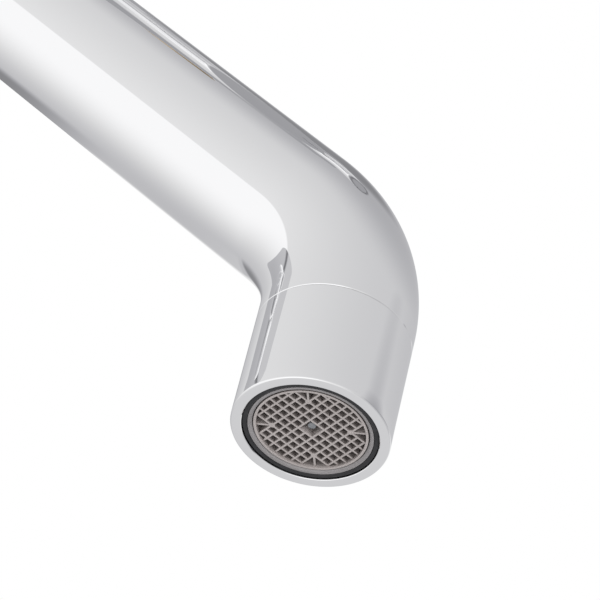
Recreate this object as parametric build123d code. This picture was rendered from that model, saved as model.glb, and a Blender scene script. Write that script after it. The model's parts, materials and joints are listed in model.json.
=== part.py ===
from build123d import *
import math
import os

os.makedirs("parts", exist_ok=True)

# Concealed thermostatic bath and shower set. All sizes are in millimetres.
# The origin lies on the finished wall, on the axis of the spout.
# +X is to the right when facing the wall, +Y goes into the wall, +Z is up.

# Gaps between pieces
FIT = 0.05          # turned fits, threads and sliding pieces, on the radius
LOOSE = 0.2         # clearance holes and keys
OVERRUN = 1.0       # how far a cut runs past a face, and a spoke into its hub
AIR = 0.4           # air between a knob and the trim beside it

# Spout
TUBE_OD = 28.0
TUBE_WALL = 2.0
PROJECTION = 190.0      # wall to the centre of the outlet
BEND_ANGLE = 50.0
BEND_RADIUS = 33.0      # on the centreline
OUTLET_LEG = 25.7       # end of the bend to the outlet's face
SLEEVE_LENGTH = 22.1    # outlet's face to the seam
SEAM_BREAK = 0.12       # chamfer on each side of the seam
SPIGOT_LENGTH = 7.0     # turned end of the tube inside the outlet sleeve
SPIGOT_WALL = 1.0
OUTLET_EDGE = 0.3       # radius on the rim of the outlet
TUBE_IN_PLATE = 4.0     # how far the tube enters behind the plate's face

# Recessed aerator, M24x1
AERATOR_THREAD_R = 12.0
AERATOR_SKIRT_R = 11.0
AERATOR_SKIRT_LENGTH = 2.0
AERATOR_FACE = 0.4          # depth of the housing's face inside the rim
AERATOR_LENGTH = 11.1
SEAL_RING_FACE = 0.28
SEAL_RING_RADIAL = 0.92
HOUSING_BEVEL = 0.3         # on the inner edge of the housing's face
GRID_RIM_R = 10.05
GRID_RIM_WALL = 0.45
GRID_RIM_FACE = 0.6
GRID_RIM_LENGTH = 5.3
GRID_FACE = 1.0
GRID_PITCH = 1.615
GRID_BAR = 0.36
GRID_DEPTH = 2.2
GRID_REACH = 5              # bars on each side of the middle one
GRID_BOSS_CELLS = 3         # cells from the middle to a boss, both ways
GRID_BOSS_R = 0.55
GRID_CLOCKING = 43.0        # degrees from X to the bars
GROOVE = 0.2                # dark gap between the grid's rim and the housing
PIN_R = 0.7
PIN_FACE = 1.7
PLATE_STEP = 1.5            # thickness of the jet plate and of the strainer
HOLE_RING_STEP = 2.2        # from one ring of holes to the next
JET_HOLE_R = 0.45
REGULATOR_HOLE_R = 0.9
STRAINER_HOLE_R = 0.7
REGULATOR_THICK = 2.4
WASHER_THICK = 1.5
THROAT_R = 9.5

# Spout connection
SPOUT_SOCKET_DEPTH = 18.0
CONNECTOR_HEX = 24.0        # across flats
CONNECTOR_HEX_THICK = 6.0
CONNECTOR_BORE_R = 6.5
CONNECTOR_STEM_R = 10.5
CONNECTOR_INSERT = 30.0     # length inside the spout
O_RING_R = 0.9              # half the thickness of the spout's O-rings
SPOUT_SCREW_R = 2.5
SPOUT_SCREW_BEHIND = 11.0   # plate's face to the screw
SPOUT_SCREW_LENGTH = 4.0
SPOUT_SCREW_BITE = 1.0      # depth of the screw's seat in the connector
COLLAR_WIDTH = 5.0
COLLAR_THICK = 4.0

# Cover plate
PLATE_WIDTH = 90.0
PLATE_MARGIN = 45.0         # outer axes to the plate's ends
PLATE_DEPTH = 8.0
PLATE_WALL = 1.5
PLATE_CORNER = 12.0
PLATE_EDGE = 1.2
SEAL_THICK = 2.0
SEAL_WIDTH = 8.0
SEAL_INSET = 1.0

# Places of the controls above the spout
FLOW_Z = 90.0
TEMPERATURE_Z = 180.0

# Knobs and their trim
KNOB_R = 26.0
KNOB_LENGTH = 53.0
KNOB_HEAD = 33.0
KNOB_WALL = 2.0
KNOB_EDGE = 1.2
TRIM_FLANGE_R = 23.5
TRIM_FLANGE_THICK = 3.0
TRIM_R = 17.5
TRIM_LENGTH = 19.0          # behind the plate's face
ADAPTER_R = 7.0
ADAPTER_FRONT = 4.0         # plate of the knob in front of the adapter
ADAPTER_DISC = 2.0
KNOB_SCREW_R = 2.0
KNOB_SCREW_LENGTH = 8.0
CAP_LENGTH = 2.5
CAP_INSET = 0.3
DIAL_R = 22.5
DIAL_WIDTH = 5.0
DIAL_THICK = 0.5
SPINDLE_R = 4.0
SPINDLE_FLATS = 6.4         # across the flats in the knob
SPINDLE_SHORT = 2.0         # spindle's end to the adapter's end

# Safety button of the temperature knob
BUTTON_R = 4.5
BUTTON_TRAVEL = 2.0         # pressed, it still stands out by a loose gap
BUTTON_FLANGE_R = 5.6
BUTTON_FLANGE_THICK = 1.5
BUTTON_NOSE_R = 3.0
BUTTON_BEHIND_HEAD = 8.5    # knob's head to the button's axis
PLATFORM_TOP = 15.5         # height of the spring's seat above the knob's axis
PLATFORM_THICK = 1.5
PLATFORM_HALF = 7.5
NOSE_BELOW = 1.0            # how far the nose stands out under its seat
BUTTON_WIRE = 0.7
BUTTON_TURNS = 4

# Valve body
BODY_FRONT = 14.0           # wall to the front of the bosses
NUT_THREAD = 7.0
NUT_NECK_R = 15.0
NUT_NECK = 14.0
NECK_R = 8.9                # cartridge necks inside the nuts
MIXER_R = 18.0              # bore for the thermostatic cartridge
MIXER_BOSS_R = 23.0
DIVERTER_R = 16.0           # bore for the flow cartridge
DIVERTER_BOSS_R = 21.0
INLET_ARM_R = 15.0
INLET_REACH = 66.0
SHOWER_ARM_R = 12.5
SHOWER_REACH = 60.0
SPOUT_BOSS_R = 15.0
PIPE_THREAD_R = 9.3155      # minor radius of G1/2
PIPE_THREAD_DEPTH = 15.0
PASSAGE_R = 4.0
CROSS_R = 3.6               # short cross drilling to the spout
SPINE_WIDTH = 31.0
SPINE_DEPTH = 23.0
SPINE_X = -3.5
SPINE_FOOT = 16.0
SPINE_EDGE = 5.0
CHAMBER_BEHIND = 9.0        # mixed water space behind the cartridge
BACK_WALL = 8.0
PLUG_R = 5.0
PLUG_DEPTH = 4.0
PLUG_HEAD_R = 6.5
PLUG_HEAD = 3.0

# Thermostatic cartridge, front to back
BONNET_SHOULDER_R = 14.0
BONNET_SHOULDER = 6.0
BONNET_FRONT = 10.0         # how far its neck stands out of the plate
SPINDLE_FLANGE_R = 6.0
SPINDLE_FLANGE = 3.0
SPINDLE_THREAD_R = 3.5
SPINDLE_THREAD = 6.5
LEAD = 3.0                  # slide of the nut in one turn
TURN_COLD = 180.0           # clockwise from 38 degrees, seen from the room
TURN_HOT = 90.0
GUIDE_R = 9.1
GUIDE_LENGTH = 14.0
NUT_R = 9.0
NUT_KEY_R = 11.0
NUT_KEY_WIDTH = 4.0
NUT_HEAD = 5.0
NUT_POCKET = 6.0
NUT_POCKET_R = 7.0
CAP_THICK = 1.5
ROD_R = 2.0
ROD_LENGTH = 3.0
WAX_R = 6.0
WAX_LENGTH = 4.0
WAX_TAIL_R = 4.0
WAX_TAIL = 19.0
PISTON_WALL = 1.4
PISTON_LENGTH = 7.0
PISTON_HUB_R = 7.0
PISTON_HUB = 3.0
MIXER_BORE_R = 12.0
MIXER_BORE = 21.0
PORT_HEIGHT = 3.2
PORT_SPACING = 9.0          # cold ports to hot ports
PORT_WIDTH = 8.0
PORT_GROOVE = 4.4
PORT_GROOVE_R = 15.5
SCREEN_THICK = 0.5
SCREEN_HOLES = 20
SCREEN_SLOT = 2.0
END_RING = 2.0
END_RING_BORE_R = 5.0
SPOKE = 2.4
RETURN_WIRE = 1.3
RETURN_R = 5.6
RETURN_TURNS = 4
OVERLOAD_WIRE = 1.1
OVERLOAD_R = 5.6
OVERLOAD_TURNS = 2
RING_R = 0.75               # half the thickness of the cartridges' O-rings
RING_GROOVE = 1.8
STOP_R = 12.5
STOP_THICK = 4.0
STOP_FINGER = 1.6           # how far the finger stands out
STOP_FINGER_WIDTH = 4.0
STOP_FINGER_THICK = 2.0
STOP_ANGLE = -25.0          # from the button, on the hot side

# Flow cartridge, back to front
PORT_CIRCLE_R = 9.5
DISC_R = 13.5
DISC_THICK = 4.0
DISC_PORT_R = 3.0
RUBBER_THICK = 1.5
CARRIER_THICK = 4.0
DOG_WIDTH = 4.0
DOG_HEIGHT = 2.0
DIVERTER_BACK = 7.0         # bottom of the bore to the passages' plane

# Check valves and strainers in the inlets
CHECK_BORE_R = 7.5
CHECK_BORE_INNER = 26.0
CHECK_BACK = 4.0            # bore's inner end to the housing
CHECK_LENGTH = 16.0
CHECK_BORE = 6.0
CHECK_SEAT = 2.0
CHECK_SEAT_R = 3.5
POPPET_R = 5.0
POPPET_THICK = 2.0
POPPET_STEM_R = 1.5
POPPET_TRAVEL = 3.0
SPIDER = 1.5
CHECK_WIRE = 0.6
CHECK_SPRING_R = 3.4
CHECK_TURNS = 5
STRAINER_THICK = 2.0
STRAINER_HOLE_R = 0.8
INLET_PORT_R = 2.7

# Bracket that carries the body in the wall
BRACKET_WIDTH = 110.0
BRACKET_WAIST = 44.0
BRACKET_THICK = 2.5
BRACKET_HEIGHT = 270.0
BRACKET_EAR = 34.0
BRACKET_CORNER = 6.0
BRACKET_HOLE_R = 3.25
BRACKET_HOLE_IN = 13.0      # from the bracket's sides to its holes
BRACKET_HOLE_DOWN = 15.0    # from its ends to its holes
BODY_SCREW_R = 2.5
BODY_SCREW_DEPTH = 6.0
BODY_SCREW_HEAD_R = 4.8
BODY_SCREW_HEAD = 3.0
BODY_SCREW_INSET = 45.0     # from each control's axis along the spine

# Radii and places that follow from the sizes above
TUBE_R = TUBE_OD / 2
BORE_R = TUBE_R - TUBE_WALL
PLATE_FACE = -(SEAL_THICK + PLATE_DEPTH)
PLATE_BOTTOM = -PLATE_MARGIN
PLATE_TOP = TEMPERATURE_Z + PLATE_MARGIN
PLATE_MID = (PLATE_BOTTOM + PLATE_TOP) / 2
HOLE_SPACING_X = BRACKET_WIDTH - 2 * BRACKET_HOLE_IN
HOLE_SPACING_Z = BRACKET_HEIGHT - 2 * BRACKET_HOLE_DOWN
TRIM_FACE = PLATE_FACE - TRIM_FLANGE_THICK
KNOB_BACK = TRIM_FACE - AIR
KNOB_FACE = KNOB_BACK - KNOB_LENGTH
KNOB_INNER = KNOB_FACE + KNOB_HEAD
ADAPTER_FACE = KNOB_FACE + ADAPTER_FRONT
SPINDLE_END = ADAPTER_FACE + SPINDLE_SHORT
NECK_FRONT = PLATE_FACE - BONNET_FRONT
NUT_BACK = BODY_FRONT + NUT_THREAD
BONNET_BACK = NUT_BACK + BONNET_SHOULDER
GUIDE_BACK = BONNET_BACK + GUIDE_LENGTH
MIXER_BACK = GUIDE_BACK + MIXER_BORE
CHAMBER_BACK = MIXER_BACK + CHAMBER_BEHIND
BODY_BACK = CHAMBER_BACK + BACK_WALL
PASSAGE_Y = MIXER_BACK + PASSAGE_R
SLIDE_COLD = LEAD * TURN_COLD / 360
SLIDE_HOT = LEAD * TURN_HOT / 360
NUT_START = BONNET_BACK + SLIDE_HOT + SLIDE_COLD / 2 + 4 * LOOSE
CAP_BACK = NUT_START + NUT_HEAD + NUT_POCKET
WAX_START = CAP_BACK + ROD_LENGTH
HUB_START = WAX_START + WAX_LENGTH
PISTON_START = HUB_START - PISTON_HUB / 3
INLET_Y = PISTON_START + PISTON_LENGTH / 2
COLD_Y = INLET_Y - PORT_SPACING / 2
HOT_Y = INLET_Y + PORT_SPACING / 2
DIVERTER_BOTTOM = PASSAGE_Y - DIVERTER_BACK
FIXED_DISC_BACK = DIVERTER_BOTTOM - RUBBER_THICK
MOVING_DISC_BACK = FIXED_DISC_BACK - DISC_THICK
CARRIER_BACK = MOVING_DISC_BACK - DISC_THICK
CARRIER_FRONT = CARRIER_BACK - CARRIER_THICK
CHECK_INNER = CHECK_BORE_INNER + CHECK_BACK
CHECK_OUTER = CHECK_INNER + CHECK_LENGTH
BUTTON_Y = KNOB_INNER + BUTTON_BEHIND_HEAD

# Frame of the outlet: z points out of it, x is the set's own X
SLOPE = math.radians(BEND_ANGLE)
TANGENT = BEND_RADIUS * math.tan(SLOPE / 2)
OUTLET_DROP = (TANGENT + OUTLET_LEG) * math.sin(SLOPE)
OUTLET_REACH = (TANGENT + OUTLET_LEG) * math.cos(SLOPE)
OUTLET = Plane(
    origin=(0, -PROJECTION, -OUTLET_DROP),
    x_dir=(1, 0, 0),
    z_dir=(0, -math.cos(SLOPE), -math.sin(SLOPE)),
)


def rod_y(radius, start, end, x=0.0, z=0.0):
    """Round bar along Y."""
    place = Pos(x, (start + end) / 2, z) * Rot(90, 0, 0)
    return place * Cylinder(radius, abs(end - start))


def rod_x(radius, start, end, y, z):
    """Round bar along X."""
    place = Pos((start + end) / 2, y, z) * Rot(0, 90, 0)
    return place * Cylinder(radius, abs(end - start))


def rod_z(radius, start, end, x, y):
    """Round bar along Z."""
    return Pos(x, y, (start + end) / 2) * Cylinder(radius, abs(end - start))


def tube_y(outer, inner, start, end, x=0.0, z=0.0):
    """Hollow bar along Y."""
    return rod_y(outer, start, end, x, z) - rod_y(inner, start, end, x, z)


def block(x0, x1, y0, y1, z0, z1):
    """Box between two corners."""
    place = Pos((x0 + x1) / 2, (y0 + y1) / 2, (z0 + z1) / 2)
    return place * Box(x1 - x0, y1 - y0, z1 - z0)


def hex_y(across, start, end, x=0.0, z=0.0):
    """Hexagonal bar along Y."""
    flat = RegularPolygon(across / 2, 6, major_radius=False)
    return Pos(x, end, z) * Rot(90, 0, 0) * extrude(flat, end - start)


def ring_y(radius, thickness_r, y, z=0.0, x=0.0):
    """O-ring round an axis along Y, given its outer radius."""
    return Pos(x, y, z) * Rot(90, 0, 0) * Torus(radius - thickness_r, thickness_r)


def spring(mean_r, wire, length, turns):
    """Open coil spring along +Z, from z = 0 to its length."""
    height = length - wire
    path = Helix(pitch=height / turns, height=height, radius=mean_r)
    profile = Plane(origin=path @ 0, z_dir=path % 0) * Circle(wire / 2)
    return Pos(0, 0, wire / 2) * sweep(profile, path, is_frenet=True)


def outlet_rod(radius, face, depth):
    """Round bar on the outlet's axis, from a depth inside the rim inwards."""
    return Pos(0, 0, -face - depth / 2) * Cylinder(radius, depth)


def outlet_tube(outer, inner, face, depth):
    """Hollow bar on the outlet's axis."""
    return outlet_rod(outer, face, depth) - outlet_rod(inner, face, depth)


def around(count, radius, first=0.0):
    """Places on a circle in the XY plane."""
    for i in range(count):
        angle = math.radians(first + 360 * i / count)
        yield radius * math.cos(angle), radius * math.sin(angle)


def hole_field(radius, first, last):
    """Round holes on rings about the Z axis, six more on each ring, and one in the middle."""
    depth = 4 * PLATE_STEP
    holes = Cylinder(radius, depth)
    for n in range(first, last + 1):
        for x, y in around(6 * n, n * HOLE_RING_STEP):
            holes += Pos(x, y) * Cylinder(radius, depth)
    return holes


# Spout


def spout_path(start):
    """Centreline of the spout from a plane behind the plate to the seam."""
    corner_y = -PROJECTION + OUTLET_REACH
    seam = OUTLET.origin - OUTLET.z_dir * SLEEVE_LENGTH
    return FilletPolyline((0, start, 0), (0, corner_y, 0), tuple(seam), radius=BEND_RADIUS)


def spout_tube():
    start = PLATE_FACE + TUBE_IN_PLATE
    path = spout_path(start)
    profile = Plane(origin=(0, start, 0), z_dir=(0, -1, 0))
    tube = sweep(profile * Circle(TUBE_R), path)
    tube = chamfer(tube.faces().sort_by_distance(path @ 1)[0].edges(), SEAM_BREAK)
    spigot = OUTLET * outlet_rod(BORE_R + SPIGOT_WALL, SLEEVE_LENGTH - SPIGOT_LENGTH, SPIGOT_LENGTH)
    bore_end = OUTLET * outlet_rod(BORE_R, SLEEVE_LENGTH - SPIGOT_LENGTH, SPIGOT_LENGTH + FIT)
    screw_y = PLATE_FACE - SPOUT_SCREW_BEHIND
    screw_hole = rod_z(SPOUT_SCREW_R + FIT, -TUBE_R - OVERRUN, 0, 0, screw_y)
    return tube + spigot - sweep(profile * Circle(BORE_R), path) - bore_end - screw_hole


def outlet_sleeve():
    body = outlet_rod(TUBE_R, 0, SLEEVE_LENGTH - FIT)
    rims = body.edges().filter_by(GeomType.CIRCLE).sort_by(Axis.Z)
    body = fillet(rims[-1], OUTLET_EDGE)
    rims = body.edges().filter_by(GeomType.CIRCLE).sort_by(Axis.Z)
    body = chamfer(rims[0], SEAM_BREAK)
    washer_seat = AERATOR_FACE + AERATOR_LENGTH + WASHER_THICK
    body -= outlet_rod(AERATOR_THREAD_R + FIT, 0, washer_seat)
    body -= outlet_rod(THROAT_R, 0, SLEEVE_LENGTH)
    socket_depth = SPIGOT_LENGTH + FIT
    body -= outlet_rod(BORE_R + SPIGOT_WALL + FIT, SLEEVE_LENGTH - socket_depth, socket_depth)
    return OUTLET * body


def aerator_housing():
    skirt = outlet_rod(AERATOR_SKIRT_R, AERATOR_FACE, AERATOR_LENGTH)
    step = AERATOR_FACE + AERATOR_SKIRT_LENGTH
    body = skirt + outlet_rod(AERATOR_THREAD_R, step, AERATOR_LENGTH - AERATOR_SKIRT_LENGTH)
    seat = GRID_RIM_FACE + GRID_RIM_LENGTH
    body -= outlet_rod(GRID_RIM_R + GROOVE, 0, seat)
    face = body.edges().filter_by(GeomType.CIRCLE).group_by(Axis.Z)[-1]
    body = chamfer(face.sort_by(SortBy.RADIUS)[0], HOUSING_BEVEL)
    body -= outlet_rod(THROAT_R, 0, AERATOR_FACE + AERATOR_LENGTH)
    return OUTLET * body


def grid_sketch(opening):
    """Square grid with an open middle cell and clear corners behind the bosses."""
    cells = GRID_BOSS_CELLS * GRID_PITCH
    face = None
    for k in range(-GRID_REACH, GRID_REACH + 1):
        offset = k * GRID_PITCH
        half = cells if abs(k) > GRID_BOSS_CELLS else math.sqrt(opening**2 - offset**2)
        bar = Pos(0, offset) * Rectangle(2 * half, GRID_BAR)
        if k == 0:
            bar -= Rectangle(2 * GRID_PITCH, 2 * GRID_BAR)
        pair = bar + Rot(0, 0, 90) * bar
        face = pair if face is None else face + pair
    rib = (opening - cells * math.sqrt(2)) / 2
    for i in range(4):
        turn = Rot(0, 0, 45 + 90 * i)
        face += turn * Pos(cells * math.sqrt(2) + rib) * Rectangle(2 * rib, GRID_BAR)
        face += turn * Pos(cells * math.sqrt(2)) * Circle(GRID_BOSS_R)
    return face


def aerator_grid():
    opening = GRID_RIM_R - GRID_RIM_WALL
    rim = outlet_tube(GRID_RIM_R, opening, GRID_RIM_FACE, GRID_RIM_LENGTH)
    bars = extrude(grid_sketch(opening + GRID_RIM_WALL / 2), -GRID_DEPTH)
    return OUTLET * Rot(0, 0, GRID_CLOCKING) * (rim + Pos(0, 0, -GRID_FACE) * bars)


def aerator_pin():
    seat = GRID_RIM_FACE + GRID_RIM_LENGTH
    return OUTLET * outlet_rod(PIN_R, PIN_FACE, seat - PIN_FACE)


def aerator_seal_ring():
    depth = AERATOR_FACE + AERATOR_SKIRT_LENGTH - SEAL_RING_FACE
    inner = AERATOR_SKIRT_R + FIT
    ring = outlet_tube(inner + SEAL_RING_RADIAL, inner, SEAL_RING_FACE, depth)
    rims = ring.edges().filter_by(GeomType.CIRCLE).group_by(Axis.Z)[-1]
    return OUTLET * fillet(rims, SEAL_RING_RADIAL / 3)


def aerator_stack():
    """Jet plate, flow regulator and strainer, packed behind the grid."""
    radius = THROAT_R - FIT
    seat = GRID_RIM_FACE + GRID_RIM_LENGTH
    jet = outlet_rod(radius, seat, PLATE_STEP)
    jet -= Pos(0, 0, -seat) * hole_field(JET_HOLE_R, 2, 3)
    start = seat + PLATE_STEP
    regulator = outlet_rod(radius, start, REGULATOR_THICK)
    regulator -= Pos(0, 0, -start) * hole_field(REGULATOR_HOLE_R, 1, 2)
    start += REGULATOR_THICK
    strainer = outlet_rod(radius, start, AERATOR_FACE + AERATOR_LENGTH - start)
    strainer -= Pos(0, 0, -start) * hole_field(STRAINER_HOLE_R, 1, 3)
    return OUTLET * jet, OUTLET * regulator, OUTLET * strainer


def aerator_washer():
    start = AERATOR_FACE + AERATOR_LENGTH
    return OUTLET * outlet_tube(AERATOR_THREAD_R - FIT, THROAT_R + FIT, start, WASHER_THICK)


# Spout connection


def spout_connector():
    thread = rod_y(PIPE_THREAD_R - FIT, BODY_FRONT, BODY_FRONT + SPOUT_SOCKET_DEPTH - OVERRUN)
    collar = hex_y(CONNECTOR_HEX, BODY_FRONT - CONNECTOR_HEX_THICK, BODY_FRONT)
    tip = PLATE_FACE - CONNECTOR_INSERT
    stem = rod_y(CONNECTOR_STEM_R, tip, BODY_FRONT)
    spigot = rod_y(BORE_R - FIT, tip, PLATE_FACE + TUBE_IN_PLATE)
    body = thread + collar + stem + spigot
    body -= rod_y(CONNECTOR_BORE_R, tip, BODY_FRONT + SPOUT_SOCKET_DEPTH)
    for y in spout_ring_places():
        body -= tube_y(BORE_R, BORE_R - 2 * O_RING_R - FIT, y - O_RING_R - FIT, y + O_RING_R + FIT)
    screw_y = PLATE_FACE - SPOUT_SCREW_BEHIND
    return body - rod_z(SPOUT_SCREW_R, -TUBE_R, -BORE_R + SPOUT_SCREW_BITE, 0, screw_y)


def spout_ring_places():
    last = PLATE_FACE - CONNECTOR_INSERT + 4 * O_RING_R
    return [last, last + 6 * O_RING_R]


def spout_o_rings():
    return [ring_y(BORE_R - FIT / 2, O_RING_R, y) for y in spout_ring_places()]


def spout_grub_screw():
    top = -BORE_R + SPOUT_SCREW_BITE - FIT
    screw_y = PLATE_FACE - SPOUT_SCREW_BEHIND
    low = max(top - SPOUT_SCREW_LENGTH, -TUBE_R + OUTLET_EDGE)
    screw = rod_z(SPOUT_SCREW_R - FIT, low, top, 0, screw_y)
    socket = extrude(RegularPolygon(SPOUT_SCREW_R / 2, 6), (top - low) / 2)
    return screw - Pos(0, screw_y, low) * socket


def spout_collar():
    body = rod_y(TUBE_R + COLLAR_WIDTH, PLATE_FACE - COLLAR_THICK, PLATE_FACE)
    rim = body.edges().filter_by(GeomType.CIRCLE).sort_by(Axis.Y)[0]
    body = fillet(rim, KNOB_EDGE)
    return body - rod_y(TUBE_R + FIT, PLATE_FACE - COLLAR_THICK, PLATE_FACE)


# Cover plate and trim


def plate_outline(inset, corner):
    width = PLATE_WIDTH - 2 * inset
    height = PLATE_TOP - PLATE_BOTTOM - 2 * inset
    return RectangleRounded(width, height, corner)


def plate_slab(inset, corner, start, end):
    """Rounded slab in the plate's outline, between two Y planes."""
    return Pos(0, end, PLATE_MID) * Rot(90, 0, 0) * extrude(plate_outline(inset, corner), end - start)


def cover_plate():
    rim = -SEAL_THICK
    body = plate_slab(0, PLATE_CORNER, PLATE_FACE, rim)
    front = body.faces().sort_by(Axis.Y)[0]
    body = fillet(front.edges(), PLATE_EDGE)
    body -= plate_slab(PLATE_WALL, PLATE_CORNER - PLATE_WALL, PLATE_FACE + PLATE_WALL, rim)
    body -= rod_y(TUBE_R + LOOSE, PLATE_FACE, rim)
    for z in (FLOW_Z, TEMPERATURE_Z):
        body -= rod_y(TRIM_R + LOOSE, PLATE_FACE, rim, z=z)
    return body


def plate_seal():
    corner = PLATE_CORNER - SEAL_INSET
    ring = plate_slab(SEAL_INSET, corner, -SEAL_THICK, 0)
    inner = max(corner - SEAL_WIDTH, SEAL_INSET)
    return ring - plate_slab(SEAL_INSET + SEAL_WIDTH, inner, -SEAL_THICK, 0)


def trim_sleeve(z):
    """Threaded sleeve that clamps the plate and covers the cartridge's nut."""
    flange = rod_y(TRIM_FLANGE_R, TRIM_FACE, PLATE_FACE, z=z)
    rim = flange.edges().filter_by(GeomType.CIRCLE).sort_by(Axis.Y)[0]
    flange = fillet(rim, KNOB_EDGE / 2)
    body = flange + rod_y(TRIM_R, PLATE_FACE, PLATE_FACE + TRIM_LENGTH, z=z)
    return body - rod_y(NUT_NECK_R + FIT, TRIM_FACE, PLATE_FACE + TRIM_LENGTH, z=z)


# Knobs


def spindle_shape(start, end, z, gap=0.0):
    """Round spindle with two flats, as cut for the knob's adapter."""
    body = rod_y(SPINDLE_R + gap, start, end, z=z)
    half = SPINDLE_FLATS / 2 + gap
    return body & block(-half, half, start, end, z - KNOB_R, z + KNOB_R)


def knob(z):
    """Turned knob: solid head, skirt round the trim sleeve, socket and screw hole."""
    body = rod_y(KNOB_R, KNOB_FACE, KNOB_BACK, z=z)
    rims = body.edges().filter_by(GeomType.CIRCLE).sort_by(Axis.Y)
    body = fillet([rims[0]], KNOB_EDGE)
    rims = body.edges().filter_by(GeomType.CIRCLE).sort_by(Axis.Y)
    body = fillet([rims[-1]], KNOB_EDGE / 3)
    body -= rod_y(KNOB_R - KNOB_WALL, KNOB_INNER, KNOB_BACK, z=z)
    body -= rod_y(ADAPTER_R + FIT, ADAPTER_FACE, KNOB_BACK, z=z)
    screw_y = (KNOB_INNER + ADAPTER_FACE) / 2
    return body - rod_z(KNOB_SCREW_R + FIT, z - KNOB_R - OVERRUN, z, 0, screw_y)


def dial_recess(z):
    return tube_y(DIAL_R + FIT, DIAL_R - DIAL_WIDTH - FIT, KNOB_FACE, KNOB_FACE + DIAL_THICK, z=z)


def temperature_knob():
    z = TEMPERATURE_Z
    hole = rod_z(BUTTON_R + FIT, z + KNOB_R / 2, z + KNOB_R + OVERRUN, 0, BUTTON_Y)
    return knob(z) - dial_recess(z) - hole


def temperature_dial():
    inner = DIAL_R - DIAL_WIDTH
    return tube_y(DIAL_R, inner, KNOB_FACE, KNOB_FACE + DIAL_THICK, z=TEMPERATURE_Z)


def adapter(z):
    """Moulded insert between a spindle's flats and the knob."""
    body = rod_y(ADAPTER_R, ADAPTER_FACE, KNOB_INNER + ADAPTER_DISC, z=z)
    body += rod_y(KNOB_R - KNOB_WALL - LOOSE, KNOB_INNER, KNOB_INNER + ADAPTER_DISC, z=z)
    return body - spindle_shape(ADAPTER_FACE, KNOB_INNER + ADAPTER_DISC, z, FIT)


def temperature_adapter():
    z = TEMPERATURE_Z
    reach = BUTTON_Y + BUTTON_FLANGE_R
    low = z + PLATFORM_TOP - PLATFORM_THICK
    seat = block(-PLATFORM_HALF, PLATFORM_HALF, KNOB_INNER, reach, low, z + PLATFORM_TOP)
    seat -= rod_z(BUTTON_NOSE_R + LOOSE, low, z + PLATFORM_TOP, 0, BUTTON_Y)
    return adapter(z) + seat


def knob_screw(z):
    top = z - ADAPTER_R - FIT
    screw_y = (KNOB_INNER + ADAPTER_FACE) / 2
    screw = rod_z(KNOB_SCREW_R, top - KNOB_SCREW_LENGTH, top, 0, screw_y)
    socket = extrude(RegularPolygon(KNOB_SCREW_R / 2, 6), KNOB_SCREW_R)
    return screw - Pos(0, screw_y, top - KNOB_SCREW_LENGTH) * socket


def screw_cap(z):
    low = z - KNOB_R + CAP_INSET
    screw_y = (KNOB_INNER + ADAPTER_FACE) / 2
    return rod_z(KNOB_SCREW_R, low, low + CAP_LENGTH, 0, screw_y)


def button_flange_top():
    inner = KNOB_R - KNOB_WALL
    return math.sqrt(inner**2 - BUTTON_FLANGE_R**2) - AIR / 2


def safety_button():
    z = TEMPERATURE_Z
    flange_top = z + button_flange_top()
    body = rod_z(BUTTON_R, flange_top - FIT, z + KNOB_R + BUTTON_TRAVEL + LOOSE, 0, BUTTON_Y)
    rim = body.edges().filter_by(GeomType.CIRCLE).sort_by(Axis.Z)[-1]
    body = fillet([rim], KNOB_EDGE / 2)
    body += rod_z(BUTTON_FLANGE_R, flange_top - BUTTON_FLANGE_THICK, flange_top, 0, BUTTON_Y)
    nose = z + PLATFORM_TOP - PLATFORM_THICK - NOSE_BELOW
    return body + rod_z(BUTTON_NOSE_R, nose, flange_top, 0, BUTTON_Y)


def button_spring():
    room = button_flange_top() - BUTTON_FLANGE_THICK - PLATFORM_TOP
    mean = BUTTON_NOSE_R + BUTTON_WIRE / 2 + 2 * LOOSE
    coil = spring(mean, BUTTON_WIRE, room - 2 * FIT, BUTTON_TURNS)
    return Pos(0, BUTTON_Y, TEMPERATURE_Z + PLATFORM_TOP + FIT) * coil


def temperature_stop_ring():
    z = TEMPERATURE_Z
    ring = tube_y(STOP_R, NECK_R + FIT, NECK_FRONT, NECK_FRONT + STOP_THICK, z=z)
    half = STOP_FINGER_WIDTH / 2
    root = STOP_R - STOP_FINGER_THICK
    finger = block(-half, half, NECK_FRONT - STOP_FINGER, NECK_FRONT, root, STOP_R)
    return ring + Pos(0, 0, z) * Rot(0, STOP_ANGLE, 0) * finger


# Valve body


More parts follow.
